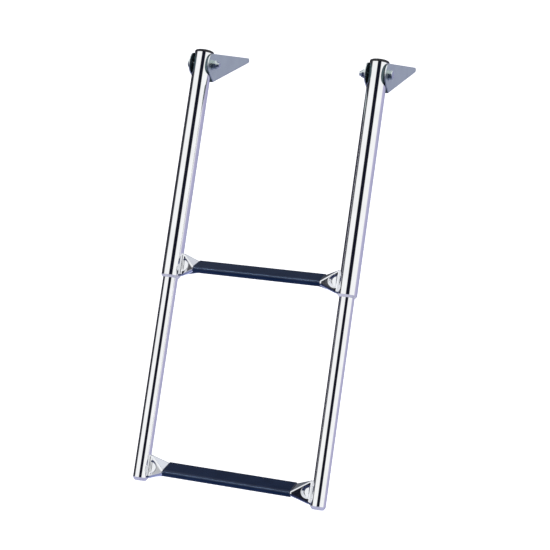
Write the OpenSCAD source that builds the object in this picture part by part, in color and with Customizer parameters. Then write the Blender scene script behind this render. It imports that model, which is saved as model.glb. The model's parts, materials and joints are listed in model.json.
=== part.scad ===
// Two-step telescoping boarding ladder for a boat's swim platform.
// The origin lies on the deck plane, midway between the brackets and straight below the hinge axis.
// +X is across the ladder, +Y is back over the deck and +Z is up. Sizes are in millimetres.

/* [Ladder] */
// Distance between the two side tubes, centre to centre
tube_spacing = 310; // [280:1:360]
// Angle between the hanging ladder and the vertical
lean = 27; // [15:1:30]
// Distance from the upper end of an outer tube to the upper rung
upper_rung_drop = 364; // [340:0.5:420]
// Distance from the upper end of an outer tube to the lower rung, when extended
lower_rung_drop = 702.5; // [690:0.5:780]

/* [Tubes] */
// Outside diameter of the outer tubes
outer_d = 32; // [30:0.5:34]
// Outside diameter of the inner tubes
inner_d = 25; // [22:0.5:25]
// Wall thickness of all tubes
wall = 1.5; // [1.2:0.1:2]
// Length of outer tube above the pivot bolt
tube_above_pivot = 19.5; // [18:0.5:20]
// Length of outer tube below the centre of the upper rung
tube_below_rung = 19.5; // [19.5:0.5:30]
// Length of inner tube below the centre of the lower rung
inner_below_rung = 19.5; // [19.5:0.5:30]

/* [Brackets] */
// Height of the pivot bolt above the deck
pivot_h = 31; // [31:0.5:36]
// Thickness of the bracket sheet
sheet = 2; // [1.5:0.1:2]
// Radius of the round front of a bracket ear
nose_r = 18.5; // [16:0.5:20]
// Distance from the pivot bolt to the centre of the rear tip
tip_y = 163; // [120:0.5:180]
// Radius of the rear tip of an ear
tip_r = 5; // [4:0.5:8]
// Gap between an ear and the side of its tube
ear_gap = 0.3; // [0.3:0.1:1]
// Across-spacing of the deck bolts in one bracket
deck_bolt_dx = 15; // [13:0.5:16]
// Lengthwise spacing of the deck bolts in one bracket
deck_bolt_dy = 100; // [60:1:105]
// Diameter of the deck bolt holes
deck_bolt_d = 6.6; // [5.5:0.1:6.6]

/* [Pivot bolt] */
// Diameter of the pivot bolt
bolt_d = 8; // [8:0.5:8]
// Distance across the flats of the bolt head and nut
hex_af = 13; // [12:0.5:13]
// Diameter of the washers
washer_d = 17; // [16:0.5:20]

/* [Rungs] */
// Outside diameter of the round tube the rungs are pressed from
rung_d = 25.4; // [22:0.1:25.4]
// Height of the flattened middle of a rung
rung_h = 9; // [8.5:0.5:11]
// Height of the upright crushed end of a rung
blade_h = 38; // [36:0.5:38.5]
// Thickness of the crushed end
blade_t = 7; // [6:0.5:8]
// Width of the band left beside the tube by the pressed hollow
band_l = 4.2; // [3.5:0.1:6]
// Radius of the pressed half-round hollow
press_r = 9.3; // [8:0.1:11]
// Metal left between the front and back hollows
press_t = 4; // [3:0.5:5]
// Length of a tread cover
tread_l = 222; // [200:1:226]
// Thickness of a tread cover
tread_t = 1.3; // [1:0.1:1.5]

/* [Hidden] */

$fn = 64;
tube_x = tube_spacing / 2;
outer_r = outer_d / 2;
inner_r = inner_d / 2;
bore_r = outer_r - wall;
hole_r = bolt_d / 2 + 0.06;
run = 0.08;

// Heights along the ladder, measured from the hinge axis.
upper_z = tube_above_pivot - upper_rung_drop;
lower_z = tube_above_pivot - lower_rung_drop;
outer_end = upper_z - tube_below_rung;
inner_end = lower_z - inner_below_rung;
collar_l = 20;
collar_cone = 3;
collar_ring = 1.2;
inner_top = outer_end + collar_l + 0.2;
plug_l = 20;
foot_l = 5.5;

// Bracket section: the inside of the channel clears the tube on both sides.
ear_in = outer_r + ear_gap;
ear_out = ear_in + sheet;
bend_out = 3.5;
bend_in = bend_out - sheet;
base_front = (outer_r + 0.25 - (pivot_h - sheet) * sin(lean)) / cos(lean);
base_rear = tip_y + tip_r;
deck_bolt_y = 30 + deck_bolt_dy / 2;

// Bolt stack, outwards from the ear: washer, then head or nut.
washer_t = 1.6;
head_h = 5.3;
nut_h = 8;
bolt_end = 3;

// Flattened rung section: its outline is as long as the round tube's.
rung_flat = (rung_d - rung_h) * PI / 2;
cover_r = rung_h / 2 + tread_t + 0.15;
cover_in = rung_h / 2 + 0.15;

// Places its children in the hanging ladder's own frame, with the hinge axis as X.
module in_ladder() {
    translate([0, 0, pivot_h]) rotate([-lean, 0, 0]) children();
}

// Places its children on one side tube: s is -1 for left and 1 for right.
module on_side(s) {
    in_ladder() translate([s * tube_x, 0, 0]) children();
}

// Profile in (y, z) stood up and extruded along X, centred.
module across(width) {
    rotate([90, 0, 90]) linear_extrude(width, center = true) children();
}

// Side outline of a bracket: round nose, straight top and bottom, round tip.
module ear_outline() {
    d = norm([tip_y, tip_r - pivot_h]);
    top_a = atan2(tip_r - pivot_h, tip_y) + acos((nose_r - tip_r) / d);
    toe_y = base_front - 0.8;
    toe_a = atan2(-pivot_h, toe_y) - acos(nose_r / norm([toe_y, pivot_h]));
    in_nose = nose_r * 0.999;
    in_tip = tip_r * 0.999;
    translate([0, pivot_h]) circle(nose_r);
    translate([tip_y, tip_r]) circle(tip_r);
    polygon([
        [0, pivot_h],
        [in_nose * cos(toe_a), pivot_h + in_nose * sin(toe_a)],
        [toe_y, 0],
        [tip_y + 0.2, 0],
        [tip_y + in_tip * cos(top_a), tip_r + in_tip * sin(top_a)],
        [in_nose * cos(top_a), pivot_h + in_nose * sin(top_a)]]);
}

// Cross-section of the bent channel, open at the top.
module channel_section() {
    top = pivot_h + nose_r + 1;
    difference() {
        union() {
            translate([-ear_out, bend_out]) square([2 * ear_out, top - bend_out]);
            translate([bend_out - ear_out, 0]) square([2 * (ear_out - bend_out), bend_out + 1]);
            for (s = [-1, 1]) translate([s * (ear_out - bend_out), bend_out]) circle(bend_out);
        }
        translate([-ear_in, sheet + bend_in]) square([2 * ear_in, top]);
        translate([bend_in - ear_in, sheet]) square([2 * (ear_in - bend_in), bend_in + 1]);
        for (s = [-1, 1]) translate([s * (ear_in - bend_in), sheet + bend_in]) circle(bend_in);
    }
}

module bracket(s) {
    color([0.62, 0.65, 0.7])
    translate([s * tube_x, 0, 0]) difference() {
        intersection() {
            translate([0, base_rear + 2, 0]) rotate([90, 0, 0])
                linear_extrude(base_rear + nose_r + 4) channel_section();
            across(2 * ear_out + 2) ear_outline();
        }
        translate([0, 0, pivot_h]) rotate([0, 90, 0])
            cylinder(r = hole_r, h = 3 * outer_d, center = true);
        // The floor of the channel stops at the toe, so the front is open for the hanging tube.
        translate([-ear_in, -50, -1]) cube([2 * ear_in, 50 + base_front, pivot_h - 8]);
        for (x = [-1, 1], y = [-1, 1])
            translate([x * deck_bolt_dx / 2, deck_bolt_y + y * deck_bolt_dy / 2, -1])
                cylinder(d = deck_bolt_d, h = sheet + 2);
    }
}

// Hexagon prism with its flats square to Z, starting at z = 0.
module hexagon(h) {
    cylinder(d = hex_af / cos(30), h = h, $fn = 6);
}

// Points its children's +Z away from the ladder's middle on side s, or towards it when flipped.
module along_pivot(s, outward) {
    translate([s * tube_x, 0, pivot_h]) rotate([0, outward * s * 90, 0]) children();
}

module pivot_bolt(s) {
    color([0.72, 0.73, 0.75])
    along_pivot(s, 1) {
        shank = 2 * ear_out + 2 * washer_t + nut_h + bolt_end;
        translate([0, 0, ear_out + washer_t - shank]) cylinder(d = bolt_d, h = shank + 1);
        translate([0, 0, ear_out + washer_t]) intersection() {
            hexagon(head_h);
            union() {
                cylinder(d = hex_af / cos(30), h = head_h - 1);
                translate([0, 0, head_h - 1.001])
                    cylinder(d1 = hex_af / cos(30), d2 = hex_af - 0.4, h = 1.001);
            }
        }
    }
}

module lock_nut(s) {
    color([0.7, 0.71, 0.73])
    along_pivot(s, -1) translate([0, 0, ear_out + washer_t]) difference() {
        union() {
            hexagon(nut_h - 2);
            cylinder(d = hex_af - 1, h = nut_h);
        }
        translate([0, 0, -1]) cylinder(d = bolt_d, h = nut_h + 2);
    }
}

module washers(s) {
    color([0.68, 0.69, 0.72])
    for (side = [-1, 1]) along_pivot(s, side) translate([0, 0, ear_out]) difference() {
        cylinder(d = washer_d, h = washer_t);
        translate([0, 0, -1]) cylinder(d = bolt_d + 0.4, h = washer_t + 2);
    }
}

module outer_tube(s) {
    color([0.86, 0.87, 0.9])
    on_side(s) difference() {
        translate([0, 0, outer_end]) cylinder(r = outer_r, h = tube_above_pivot - outer_end);
        translate([0, 0, outer_end - 1])
            cylinder(r = bore_r, h = tube_above_pivot - outer_end + 2);
        rotate([0, 90, 0]) cylinder(r = hole_r, h = 2 * outer_d, center = true);
    }
}

// Plug with a low dome: its corner stays inside the circle that clears the bracket floor.
module top_cap(s) {
    color([0.07, 0.07, 0.09])
    on_side(s) translate([0, 0, tube_above_pivot]) rotate_extrude()
        polygon([
            [0, -10], [bore_r - 0.8, -10], [bore_r, -9], [bore_r, 0], [outer_r, 0],
            [outer_r, 2.2], [outer_r - 0.4, 2.9], [outer_r - 1.3, 3.4], [outer_r - 5, 3.9],
            [outer_r - 10, 4.2], [0, 4.3]]);
}

// Ring that lines the lower end of an outer tube and guides the inner tube.
module guide_collar(s) {
    lip_r = inner_r + 0.8;
    color([0.84, 0.84, 0.88])
    on_side(s) translate([0, 0, outer_end]) rotate_extrude()
        polygon([
            [inner_r + run, -collar_ring - collar_cone], [lip_r, -collar_ring - collar_cone],
            [outer_r, -collar_ring], [outer_r, 0], [bore_r, 0],
            [bore_r, collar_l], [inner_r + run, collar_l]]);
}

module inner_tube(s) {
    color([0.86, 0.87, 0.9])
    on_side(s) translate([0, 0, inner_end]) difference() {
        cylinder(r = inner_r, h = inner_top - inner_end);
        translate([0, 0, -1]) cylinder(r = inner_r - wall, h = inner_top - inner_end + 2);
    }
}

// Plug in the hidden top of an inner tube: its head slides in the outer tube
// and lands on the collar, which stops the lower section from falling out.
module guide_plug(s) {
    color([0.8, 0.8, 0.83])
    on_side(s) translate([0, 0, inner_top]) rotate_extrude()
        polygon([
            [0, -14], [inner_r - wall - 0.6, -14], [inner_r - wall, -13], [inner_r - wall, 0],
            [bore_r - run, 0], [bore_r - run, plug_l - 1], [bore_r - 1, plug_l], [0, plug_l]]);
}

module foot_plug(s) {
    color([0.78, 0.79, 0.84])
    on_side(s) translate([0, 0, inner_end]) rotate_extrude()
        polygon([
            [0, -foot_l], [9, -foot_l], [9.9, -foot_l + 0.7], [inner_r, -1.2], [inner_r, 0],
            [inner_r - wall, 0], [inner_r - wall, 14], [0, 14]]);
}

// Outline of the pressed rung or of its cover: a flat oval, level when the ladder hangs.
module flat_oval(r) {
    hull_w = rung_flat / 2;
    for (s = [-1, 1]) translate([s * hull_w, 0]) circle(r);
    square([2 * hull_w, 2 * r], center = true);
}

// Outline of the upright crushed end of a rung, grown by g.
module upright(g) {
    r = blade_t / 2;
    for (s = [-1, 1]) translate([0, s * (blade_h / 2 - r)]) circle(r + g);
    square([2 * (r + g), blade_h - 2 * r], center = true);
}

// Rung: hollow flat middle, both ends drawn over into an upright crushed end that is coped to the
// side tube of radius r. The crushed ends seal the hollow. Each has a half-round hollow pressed
// into its front and its back, with steep sides.
module rung(z, r) {
    reach = tube_x - r;
    flare_x = tread_l / 2 + 0.5;
    depth = 16;
    color([0.84, 0.85, 0.9])
    in_ladder() translate([0, 0, z]) difference() {
        union() {
            rotate([lean, 0, 0]) across(2 * flare_x) flat_oval(rung_h / 2);
            for (s = [-1, 1]) {
                hull() {
                    translate([s * (flare_x - 1), 0, 0]) rotate([lean, 0, 0])
                        across(1) flat_oval(rung_h / 2 - 0.6, $fn = 32);
                    translate([s * (reach - band_l), 0, 0]) across(1) upright(-0.15, $fn = 32);
                }
                translate([s * (reach + 2 - (band_l + 2.3) / 2), 0, 0])
                    across(band_l + 2.3) upright(0);
                hull() {
                    translate([s * (flare_x - 27), 0, 0]) rotate([lean, 0, 0])
                        translate([0, 0, -rung_h / 2 + 0.8]) cube([1, 11, 1.4], center = true);
                    translate([s * (reach - band_l), 0, 3.5 - blade_h / 2])
                        cube([1, 2, 3], center = true);
                    translate([s * (flare_x + 1), 0, 0]) rotate([lean, 0, 0])
                        translate([0, 0, -rung_h / 2 + 2]) cube([1, 12, 2], center = true);
                }
            }
        }
        rotate([lean, 0, 0]) across(tread_l - 60) flat_oval(rung_h / 2 - wall);
        for (s = [-1, 1]) translate([s * tube_x, 0, 0])
            cylinder(r = r, h = 3 * blade_h, center = true);
        for (s = [-1, 1], f = [-1, 1]) intersection() {
            translate([s * (reach - band_l), f * press_t / 2, 0]) rotate([-f * 90, 0, 0])
                cylinder(r1 = press_r, r2 = press_r + 0.3 * depth, h = depth);
            translate([s * (reach - band_l - 25), 0, 0]) cube([50, 50, 80], center = true);
        }
    }
}

// Cover snapped over the flat of a rung, open along its underside.
module tread(z) {
    color([0.1, 0.14, 0.26])
    in_ladder() translate([0, 0, z]) rotate([lean, 0, 0]) difference() {
        across(tread_l) flat_oval(cover_r);
        across(tread_l + 2) flat_oval(cover_in);
        translate([0, 0, -cover_r]) cube([tread_l + 2, 15, cover_r], center = true);
    }
}

// Weld bead round each crushed end, in the corner against the side tube of radius r.
module welds(z, r) {
    color([0.7, 0.72, 0.78])
    in_ladder() translate([0, 0, z]) for (s = [-1, 1]) difference() {
        translate([s * (tube_x - r), 0, 0]) across(3) intersection() {
            upright(1.3);
            square([blade_t + 4, blade_h + 0.6], center = true);
        }
        across(2 * tube_x) upright(0);
        translate([s * tube_x, 0, 0]) cylinder(r = r, h = 3 * blade_h, center = true);
    }
}

bracket(-1);  // left_bracket
bracket(1);  // right_bracket
pivot_bolt(-1);  // left_pivot_bolt
pivot_bolt(1);  // right_pivot_bolt
lock_nut(-1);  // left_lock_nut
lock_nut(1);  // right_lock_nut
washers(-1);  // left_washers
washers(1);  // right_washers
outer_tube(-1);  // left_outer_tube
outer_tube(1);  // right_outer_tube
top_cap(-1);  // left_top_cap
top_cap(1);  // right_top_cap
guide_collar(-1);  // left_guide_collar
guide_collar(1);  // right_guide_collar
rung(upper_z, outer_r);  // upper_rung
tread(upper_z);  // upper_tread
welds(upper_z, outer_r);  // upper_welds
inner_tube(-1);  // left_inner_tube
inner_tube(1);  // right_inner_tube
guide_plug(-1);  // left_guide_plug
guide_plug(1);  // right_guide_plug
rung(lower_z, inner_r);  // lower_rung
tread(lower_z);  // lower_tread
welds(lower_z, inner_r);  // lower_welds
foot_plug(-1);  // left_foot_plug
foot_plug(1);  // right_foot_plug
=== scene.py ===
"""Looks of a two-step telescoping boarding ladder in polished stainless steel, in metres."""
import json
import math

import bmesh
import bpy
from mathutils import Matrix, Vector


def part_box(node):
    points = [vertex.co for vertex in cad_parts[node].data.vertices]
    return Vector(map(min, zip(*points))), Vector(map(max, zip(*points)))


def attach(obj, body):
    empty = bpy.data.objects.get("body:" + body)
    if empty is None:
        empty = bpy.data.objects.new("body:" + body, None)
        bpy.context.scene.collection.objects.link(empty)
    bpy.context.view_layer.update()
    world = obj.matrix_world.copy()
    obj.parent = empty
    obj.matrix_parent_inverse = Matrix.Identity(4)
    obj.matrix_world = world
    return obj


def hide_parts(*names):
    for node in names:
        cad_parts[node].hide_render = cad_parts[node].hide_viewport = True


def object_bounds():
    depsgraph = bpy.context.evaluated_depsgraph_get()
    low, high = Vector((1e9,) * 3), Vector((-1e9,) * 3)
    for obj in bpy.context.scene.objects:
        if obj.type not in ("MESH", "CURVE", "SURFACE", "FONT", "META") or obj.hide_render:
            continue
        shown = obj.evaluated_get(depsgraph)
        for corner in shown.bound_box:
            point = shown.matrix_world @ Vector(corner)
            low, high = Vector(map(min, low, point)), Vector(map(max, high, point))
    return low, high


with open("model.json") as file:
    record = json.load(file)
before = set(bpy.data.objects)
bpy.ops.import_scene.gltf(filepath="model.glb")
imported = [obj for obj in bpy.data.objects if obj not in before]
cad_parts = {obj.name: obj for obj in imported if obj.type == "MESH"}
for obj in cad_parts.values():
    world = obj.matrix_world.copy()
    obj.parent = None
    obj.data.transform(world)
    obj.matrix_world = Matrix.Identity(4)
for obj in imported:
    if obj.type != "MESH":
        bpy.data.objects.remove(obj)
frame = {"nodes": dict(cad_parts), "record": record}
cad_low, cad_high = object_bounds()
NODES = frame["nodes"]
BEHAVIOUR = frame["record"]["behaviour"]
BODY_OF = {node: body for body, nodes in BEHAVIOUR["bodies"].items() for node in nodes}
SIDES = ("left", "right")
LEVELS = ("upper", "lower")

# ---------------------------------------------------------------- the ladder's own frame
# Its origin is on the hinge line and its +Z runs up along the tubes.
UP_TUBE = Vector(next(j["axis"] for j in BEHAVIOUR["joints"] if j["name"] == "telescope")).normalized()
HINGE = Vector((0.0, 0.0, sum(corner.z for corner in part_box("right_lock_nut")) / 2))
LADDER = Matrix.Translation(HINGE) @ Matrix((
    (1, 0, 0, 0),
    (0, UP_TUBE.z, UP_TUBE.y, 0),
    (0, -UP_TUBE.y, UP_TUBE.z, 0),
    (0, 0, 0, 1)))


def heights(node):
    """Heights of a CAD node's vertices along the tubes."""
    to_ladder = LADDER.inverted()
    return [(to_ladder @ vert.co).z for vert in NODES[node].data.vertices]


def tube_axis(side):
    """Place in X and radius of an outer tube."""
    low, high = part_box(f"{side}_outer_tube")
    return (low.x + high.x) / 2, (high.x - low.x) / 2


# ---------------------------------------------------------------- node helpers
def link(tree, source, target):
    tree.links.new(source, target)


def new_material(name):
    mat = bpy.data.materials.new(name)
    mat.use_nodes = True
    tree = mat.node_tree
    tree.nodes.clear()
    out = tree.nodes.new("ShaderNodeOutputMaterial")
    shader = tree.nodes.new("ShaderNodeBsdfPrincipled")
    link(tree, shader.outputs[0], out.inputs[0])
    return mat, tree, shader


def feed(tree, socket, value):
    """Sets a socket to a number or colour, or links another socket to it."""
    if isinstance(value, (tuple, int, float)):
        socket.default_value = value
    else:
        link(tree, value, socket)


def math_node(tree, operation, *values):
    node = tree.nodes.new("ShaderNodeMath")
    node.operation = operation
    for socket, value in zip(node.inputs, values):
        feed(tree, socket, value)
    return node.outputs[0]


def vector_dot(tree, vector, constant):
    node = tree.nodes.new("ShaderNodeVectorMath")
    node.operation = "DOT_PRODUCT"
    feed(tree, node.inputs[0], vector)
    feed(tree, node.inputs[1], tuple(constant))
    return node.outputs["Value"]


def separate(tree, vector):
    node = tree.nodes.new("ShaderNodeSeparateXYZ")
    link(tree, vector, node.inputs[0])
    return node.outputs


def ramp(tree, factor, stops):
    """Colour ramp through the (position, colour) stops."""
    node = tree.nodes.new("ShaderNodeValToRGB")
    link(tree, factor, node.inputs[0])
    elements = node.color_ramp.elements
    elements.remove(elements[-1])
    for i, (position, colour) in enumerate(stops):
        element = elements[0] if i == 0 else elements.new(position)
        element.position = position
        element.color = (*colour, 1.0)
    return node.outputs[0]


def mix(tree, factor, first, second):
    """The first colour where factor is 0, and the second where it is 1."""
    node = tree.nodes.new("ShaderNodeMix")
    node.data_type = "RGBA"
    feed(tree, node.inputs[0], factor)
    feed(tree, node.inputs[6], first)
    feed(tree, node.inputs[7], second)
    return node.outputs[2]


def noise(tree, coords, scale, detail):
    node = tree.nodes.new("ShaderNodeTexNoise")
    node.inputs["Scale"].default_value = scale
    node.inputs["Detail"].default_value = detail
    link(tree, coords, node.inputs["Vector"])
    return node.outputs[0]


def bump(tree, shader, height, strength, distance):
    node = tree.nodes.new("ShaderNodeBump")
    node.inputs["Strength"].default_value = strength
    node.inputs["Distance"].default_value = distance
    link(tree, height, node.inputs["Height"])
    link(tree, node.outputs[0], shader.inputs["Normal"])


# ---------------------------------------------------------------- materials
SMUDGE = 0.06                               # swing of a metal's roughness over its smudges
HANDLING = 0.14                             # the same for plastic
# painted shade on the channels' inner faces
CHANNEL_SHADE = (0.14, 0.20, 0.22, 1.0)
# painted highlight on the ears' sheared edges
EDGE_HIGHLIGHT = (0.86, 0.90, 0.92, 1.0)
SLACK = 0.0005                              # between a tube and the channel's inner faces, at most


def metal(name, colour, rough, streak=(1, 1, 1), streak_depth=0.1):
    """Stainless steel with faint smudges and fine brush lines, drawn out along the smallest of streak."""
    mat, tree, shader = new_material(name)
    shader.inputs["Metallic"].default_value = 1.0
    coords = tree.nodes.new("ShaderNodeTexCoord").outputs["Object"]
    stretch = tree.nodes.new("ShaderNodeMapping")
    stretch.inputs["Scale"].default_value = streak
    link(tree, coords, stretch.inputs[0])
    lines = noise(tree, stretch.outputs[0], scale=900.0, detail=4)
    cloud = noise(tree, coords, scale=34.0, detail=5)
    uneven = math_node(tree, "ADD", math_node(tree, "MULTIPLY", lines, rough * 0.5),
                       math_node(tree, "MULTIPLY", cloud, SMUDGE))
    link(tree, math_node(tree, "ADD", uneven, rough * 0.75 - SMUDGE / 2), shader.inputs["Roughness"])
    smudged = tuple(channel * 0.94 for channel in colour)
    link(tree, ramp(tree, cloud, [(0.35, smudged), (0.65, colour)]), shader.inputs["Base Color"])
    bump(tree, shader, lines, streak_depth, 0.00005)
    return mat


def plastic(name, colour, rough, specular=0.5):
    """Moulded plastic with a fine grain and slightly worn patches."""
    mat, tree, shader = new_material(name)
    shader.inputs["Specular IOR Level"].default_value = specular
    coords = tree.nodes.new("ShaderNodeTexCoord").outputs["Object"]
    grain = noise(tree, coords, scale=1500.0, detail=3)
    cloud = noise(tree, coords, scale=30.0, detail=4)
    worn = tuple(min(1.0, channel * 1.35 + 0.004) for channel in colour)
    link(tree, ramp(tree, cloud, [(0.4, colour), (0.75, worn)]), shader.inputs["Base Color"])
    link(tree, math_node(tree, "ADD", math_node(tree, "MULTIPLY", cloud, HANDLING), rough - HANDLING / 2),
         shader.inputs["Roughness"])
    bump(tree, shader, grain, 0.1, 0.0001)
    return mat


def paint_sheet_shade_and_highlight(mat):
    """Painted shade, dull and dark, inside the bent channels, and a painted pale highlight on the ears'
    sheared edges.
    """
    tree = mat.node_tree
    shader = tree.nodes["Principled BSDF"]
    tube_x, tube_r = tube_axis("right")
    place = separate(tree, tree.nodes.new("ShaderNodeTexCoord").outputs["Object"])
    off_axis = math_node(tree, "ABSOLUTE", math_node(
        tree, "SUBTRACT", math_node(tree, "ABSOLUTE", place["X"]), tube_x))
    # The channels' inner faces, which get painted shade.
    inside = math_node(tree, "LESS_THAN", off_axis, tube_r + SLACK)
    outside = math_node(tree, "SUBTRACT", 1.0, inside)
    satin = shader.inputs["Base Color"].links[0].from_socket
    # Outside the channels, only the sheared edges face away from X; they get a painted highlight.
    normal = separate(tree, tree.nodes.new("ShaderNodeNewGeometry").outputs["Normal"])
    along_x = math_node(tree, "ABSOLUTE", normal["X"])
    edge = math_node(tree, "MULTIPLY", math_node(tree, "LESS_THAN", along_x, 0.6), outside)
    # Painted shade inside the channels, a painted highlight on the sheared edges, satin steel elsewhere.
    link(tree, mix(tree, edge, mix(tree, inside, satin, CHANNEL_SHADE), EDGE_HIGHLIGHT),
         shader.inputs["Base Color"])


TUBE = metal("polished_tube", (0.93, 0.93, 0.95), 0.05, streak=(1, 1, 0.04))
RUNG = metal("polished_rung", (0.88, 0.89, 0.93), 0.10, streak=(0.05, 1, 1))
SHEET = metal("satin_sheet", (0.66, 0.74, 0.70), 0.42, streak=(1, 0.04, 1), streak_depth=0.3)
# The sheet gets painted shade in its channels and a painted highlight on its ear edges.
paint_sheet_shade_and_highlight(SHEET)
FASTENER = metal("zinc_fastener", (0.62, 0.68, 0.70), 0.15)
WELD = metal("weld_bead", (0.78, 0.79, 0.84), 0.2)
BLACK = plastic("black_cap", (0.006, 0.006, 0.009), 0.5)
# The nylon and the foot plugs are pale plastic, darkened and tinted lavender grey as painted shade.
NYLON = plastic("pale_nylon", (0.42, 0.42, 0.53), 0.35)
TREAD = plastic("navy_tread", (0.002, 0.010, 0.040), 0.17, specular=0.3)
FOOT = plastic("pale_foot_painted_shade", (0.38, 0.38, 0.54), 0.35)


def paint(node, mat):
    mesh = NODES[node].data
    mesh.materials.clear()
    mesh.materials.append(mat)


# The CAD nodes that stay visible; the others are replaced below.
for side in SIDES:
    paint(f"{side}_outer_tube", TUBE)
    paint(f"{side}_inner_tube", TUBE)
    paint(f"{side}_washers", FASTENER)
    paint(f"{side}_guide_collar", NYLON)
    paint(f"{side}_guide_plug", NYLON)
    paint(f"{side}_foot_plug", FOOT)
for level in LEVELS:
    paint(f"{level}_welds", WELD)

# ---------------------------------------------------------------- mesh helpers
SAME_PLACE = 1e-6                           # vertices closer than this are one
CREASE = math.radians(28)                   # sharper edges get a round
LATHE_STEPS = 72


def new_object(name, bm):
    """Object with the bmesh's faces; frees the bmesh."""
    mesh = bpy.data.meshes.new(name)
    bm.to_mesh(mesh)
    bm.free()
    obj = bpy.data.objects.new(name, mesh)
    bpy.context.scene.collection.objects.link(obj)
    return obj


def shade_smooth(obj, sharp_angle):
    for face in obj.data.polygons:
        face.use_smooth = True
    obj.data.set_sharp_from_angle(angle=sharp_angle)


def outer_shell(node, name):
    """Copy of a CAD node's outer skin, with its split vertices joined."""
    bm = bmesh.new()
    bm.from_mesh(NODES[node].data)
    bmesh.ops.remove_doubles(bm, verts=bm.verts, dist=SAME_PLACE)
    shells, seen = [], set()
    for seed in bm.verts:
        if seed in seen:
            continue
        shell, stack = {seed}, [seed]
        while stack:
            for edge in stack.pop().link_edges:
                fresh = [vert for vert in edge.verts if vert not in shell]
                shell.update(fresh)
                stack.extend(fresh)
        seen |= shell
        shells.append(shell)
    widths = [max(v.co.x for v in shell) - min(v.co.x for v in shell) for shell in shells]
    keep = shells[widths.index(max(widths))]
    bmesh.ops.delete(bm, geom=[vert for vert in bm.verts if vert not in keep], context="VERTS")
    return new_object(name, bm)


def lathe(name, outline):
    """Closed (radius, height) outline turned about Z."""
    bm = bmesh.new()
    rings = []
    for step in range(LATHE_STEPS):
        angle = 2 * math.pi * step / LATHE_STEPS
        rings.append([bm.verts.new((r * math.cos(angle), r * math.sin(angle), z)) for r, z in outline])
    for step in range(LATHE_STEPS):
        ring, after = rings[step], rings[(step + 1) % LATHE_STEPS]
        for i in range(len(outline)):
            j = (i + 1) % len(outline)
            bm.faces.new((ring[i], after[i], after[j], ring[j]))
    bmesh.ops.remove_doubles(bm, verts=bm.verts, dist=SAME_PLACE)
    bmesh.ops.dissolve_degenerate(bm, edges=bm.edges, dist=SAME_PLACE / 10)
    bmesh.ops.recalc_face_normals(bm, faces=bm.faces)
    obj = new_object(name, bm)
    shade_smooth(obj, math.radians(40))
    return obj


def stand_in(obj, node, mat):
    """Finishes a piece that shows instead of a CAD node and moves with its body."""
    obj.data.materials.append(mat)
    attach(obj, BODY_OF[node])
    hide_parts(node)


# ---------------------------------------------------------------- the ladder's own pieces
SHEET_ROUND = 0.0004
TREAD_ROUND = 0.0004
FASTENER_ROUND = 0.0003


def eased(node, name, mat, width):
    """Copy of a CAD node with a small round on its sharp edges."""
    obj = outer_shell(node, name)
    shade_smooth(obj, CREASE)
    bevel = obj.modifiers.new("ease", "BEVEL")
    bevel.width = width
    bevel.segments = 2
    bevel.limit_method = "ANGLE"
    bevel.angle_limit = CREASE
    bevel.harden_normals = True
    stand_in(obj, node, mat)


def pressed_bar(node, name):
    """Copy of a rung with every crease rounded, as pressing a tube does."""
    obj = outer_shell(node, name)
    remesh = obj.modifiers.new("grain", "REMESH")
    remesh.mode = "VOXEL"
    remesh.voxel_size = 0.0007
    remesh.use_smooth_shade = True
    smooth = obj.modifiers.new("press", "SMOOTH")
    smooth.factor = 0.5
    smooth.iterations = 8
    stand_in(obj, node, RUNG)


def lipped_cap(side):
    """Black plug whose thin lip folds down over the end of the outer tube."""
    tube_x, tube_r = tube_axis(side)
    tube_top = max(heights(f"{side}_outer_tube"))
    cap_heights = heights(f"{side}_top_cap")
    bottom, top = min(cap_heights) - tube_top, max(cap_heights) - tube_top
    bore = tube_r - 0.0015              # the plug inside the tube's wall
    seat = 0.00005                      # the cap's underside, just clear of the tube's end
    fit = tube_r + 0.00004              # the lip's inner face, just clear of the tube
    lip = tube_r + 0.00022              # its outer face
    drop = -0.0014                      # its lower edge
    cap = lathe(f"{side}_cap", [
        (0, bottom), (bore - 0.0008, bottom), (bore, bottom + 0.001), (bore, seat),
        (fit, seat), (fit, drop), (lip - 0.00005, drop), (lip, drop + 0.0001),
        (lip, 0.0018), (lip - 0.0005, 0.0026), (lip - 0.0017, top - 0.0010),
        (lip - 0.0052, top - 0.0004), (0.006, top - 0.0001), (0, top)])
    cap.matrix_world = LADDER @ Matrix.Translation((tube_x, 0, tube_top))
    stand_in(cap, f"{side}_top_cap", BLACK)


for level in LEVELS:
    pressed_bar(f"{level}_rung", f"{level}_rung_bar")
    eased(f"{level}_tread", f"{level}_tread_cover", TREAD, TREAD_ROUND)
for side in SIDES:
    eased(f"{side}_bracket", f"{side}_bracket_sheet", SHEET, SHEET_ROUND)
    eased(f"{side}_pivot_bolt", f"{side}_hinge_bolt", FASTENER, FASTENER_ROUND)
    eased(f"{side}_lock_nut", f"{side}_hinge_nut", FASTENER, FASTENER_ROUND)
    lipped_cap(side)

# ---------------------------------------------------------------- camera
# A camera fitted to the ladder's edges: it looks down about 20 degrees, from the front and the right.
EYE = Vector((0.8174, -2.2224, 0.5290))
FORWARD = Vector((-0.3353, 0.8778, -0.3420)).normalized()
LEVEL_RIGHT = Vector((0.9365, 0.3502, -0.0192))
RIGHT = (LEVEL_RIGHT - FORWARD * LEVEL_RIGHT.dot(FORWARD)).normalized()


def axes(x, y, z, origin):
    """Matrix with the given axes and origin."""
    return Matrix((
        (x.x, y.x, z.x, origin.x),
        (x.y, y.y, z.y, origin.y),
        (x.z, y.z, z.z, origin.z),
        (0, 0, 0, 1)))


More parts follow.
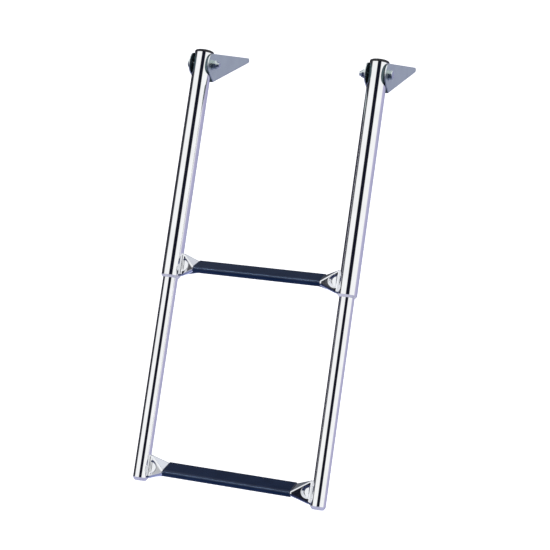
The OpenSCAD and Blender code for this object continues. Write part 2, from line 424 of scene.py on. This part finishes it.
cam_data = bpy.data.cameras.new("camera")
cam_data.sensor_width = 36.0
cam_data.lens = 94.25
cam_data.clip_start, cam_data.clip_end = 0.05, 60.0
camera = bpy.data.objects.new("camera", cam_data)
bpy.context.scene.collection.objects.link(camera)
camera.matrix_world = axes(RIGHT, RIGHT.cross(FORWARD), -FORWARD, EYE)
bpy.context.scene.camera = camera

# ---------------------------------------------------------------- the studio's surroundings
BLACKISH = (0.006, 0.007, 0.016)
NAVY = (0.02, 0.03, 0.08)
WHITE = (1.0, 1.01, 1.0)
DIM = (0.16, 0.16, 0.32)
OFF, ON = (0, 0, 0), (1, 1, 1)


def at(degrees):
    """Ramp position of a turn about the tubes: 0 is the camera's side, positive is to its right."""
    return 0.5 + degrees / 360.0


def place_in_room(tree):
    """Turn about the tubes and height along them of a ray's direction, both from 0 to 1."""
    direction = tree.nodes.new("ShaderNodeTexCoord").outputs["Generated"]
    toward = (-FORWARD + UP_TUBE * FORWARD.dot(UP_TUBE)).normalized()
    rightward = UP_TUBE.cross(toward)
    turn = math_node(tree, "ARCTAN2", vector_dot(tree, direction, rightward),
                     vector_dot(tree, direction, toward))
    return (math_node(tree, "MULTIPLY_ADD", turn, 0.5 / math.pi, 0.5),
            math_node(tree, "MULTIPLY_ADD", vector_dot(tree, direction, UP_TUBE), 0.5, 0.5))


def mirrored_room(tree, turn, height):
    """What polished steel mirrors: upright black and white bands, a dark ground, a pale ceiling."""
    bands = ramp(tree, turn, [
        (at(-180), (0.05, 0.05, 0.06)), (at(-96), (0.03, 0.03, 0.04)), (at(-84), WHITE),
        (at(-26), WHITE), (at(-21), BLACKISH), (at(16), BLACKISH), (at(21), WHITE),
        (at(80), WHITE), (at(88), (0.52, 0.50, 0.68)), (at(130), (0.40, 0.40, 0.60)),
        (at(165), (0.36, 0.36, 0.54)), (at(178), (0.10, 0.09, 0.14))])
    ground = ramp(tree, turn, [
        (at(-180), (0.20, 0.21, 0.34)), (at(-90), (0.30, 0.33, 0.55)), (at(-60), (0.10, 0.12, 0.20)),
        (at(-40), NAVY), (at(80), NAVY), (at(130), (0.30, 0.33, 0.5)), (at(178), (0.20, 0.21, 0.34))])
    ceiling = ramp(tree, turn, [
        (at(-180), (0.10, 0.12, 0.14)), (at(-120), (0.35, 0.36, 0.40)), (at(-90), WHITE),
        (at(90), WHITE), (at(150), (0.80, 0.82, 0.86)), (at(178), (0.10, 0.12, 0.14))])
    below = ramp(tree, height, [(0.39, ON), (0.43, OFF)])
    above = ramp(tree, height, [(0.66, OFF), (0.74, ON)])
    return mix(tree, above, mix(tree, below, bands, ground), ceiling)


def soft_light(tree, turn):
    """What lights the plastics: white from the front, dim lavender from the right and the back."""
    return ramp(tree, turn, [
        (at(-180), DIM), (at(-120), WHITE), (at(0), WHITE), (at(70), DIM), (at(180), DIM)])


scene = bpy.context.scene
scene.view_settings.view_transform = "Standard"
scene.view_settings.look = "None"
scene.world = bpy.data.worlds.new("studio")
scene.world.use_nodes = True
room = scene.world.node_tree
room.nodes.clear()
turn, height = place_in_room(room)
path = room.nodes.new("ShaderNodeLightPath").outputs
mirrored = room.nodes.new("ShaderNodeBackground")
link(room, mirrored_room(room, turn, height), mirrored.inputs[0])
plain = room.nodes.new("ShaderNodeBackground")
link(room, mix(room, path["Is Camera Ray"], soft_light(room, turn), (1.0, 1.0, 1.0, 1.0)), plain.inputs[0])
switch = room.nodes.new("ShaderNodeMixShader")
link(room, path["Is Glossy Ray"], switch.inputs[0])
link(room, plain.outputs[0], switch.inputs[1])
link(room, mirrored.outputs[0], switch.inputs[2])
link(room, switch.outputs[0], room.nodes.new("ShaderNodeOutputWorld").inputs[0])

# ---------------------------------------------------------------- floor
floor_mat, floor_tree, floor_shader = new_material("pale_floor")
floor_shader.inputs["Base Color"].default_value = (0.9, 0.9, 0.9, 1)
floor_shader.inputs["Roughness"].default_value = 0.9
floor_shader.inputs["Emission Color"].default_value = (1, 1, 1, 1)
floor_shader.inputs["Emission Strength"].default_value = 0.6
bm = bmesh.new()
bmesh.ops.create_grid(bm, x_segments=2, y_segments=2, size=12.0)
floor = new_object("floor", bm)
floor.location = (0, 0, cad_low.z - 0.15)
floor.data.materials.append(floor_mat)
floor.visible_glossy = False

# ---------------------------------------------------------------- lamps
LAMP_AWAY = 3.0                             # from the tread
LAMP_LENGTH = 4.0
LAMP_SHIFT = -1.07                          # sideways, to where the treads mirror the camera


def lamp(name, level, elevation, breadth, colour, watts, piece):
    """Long area light parallel to a tread, for the reflections in one piece alone."""
    across = Vector((1, 0, 0))
    toward_lamp = Vector((0, -math.cos(elevation), math.sin(elevation)))
    tread_low, tread_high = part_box(f"{level}_tread")
    start = (tread_low + tread_high) / 2 + toward_lamp * LAMP_AWAY + across * LAMP_SHIFT
    light = bpy.data.lights.new(name, "AREA")
    light.shape = "RECTANGLE"
    light.size = LAMP_LENGTH
    light.size_y = breadth
    light.color = colour
    light.energy = watts
    obj = bpy.data.objects.new(name, light)
    scene.collection.objects.link(obj)
    obj.matrix_world = axes(across, toward_lamp.cross(across), toward_lamp, start)
    obj.visible_diffuse = False
    obj.light_linking.receiver_collection = bpy.data.collections.new(name)
    obj.light_linking.receiver_collection.objects.link(bpy.data.objects[piece])


# A blue strip light draws the line along each tread, and a broad pale blue one lies under each rung.
for level in LEVELS:
    lamp(f"{level}_strip", level, math.radians(60), 0.16, (0.45, 0.68, 1.0), 130.0, f"{level}_tread_cover")
    lamp(f"{level}_fill", level, math.radians(-105), 2.4, (0.55, 0.63, 1.0), 20.0, f"{level}_rung_bar")
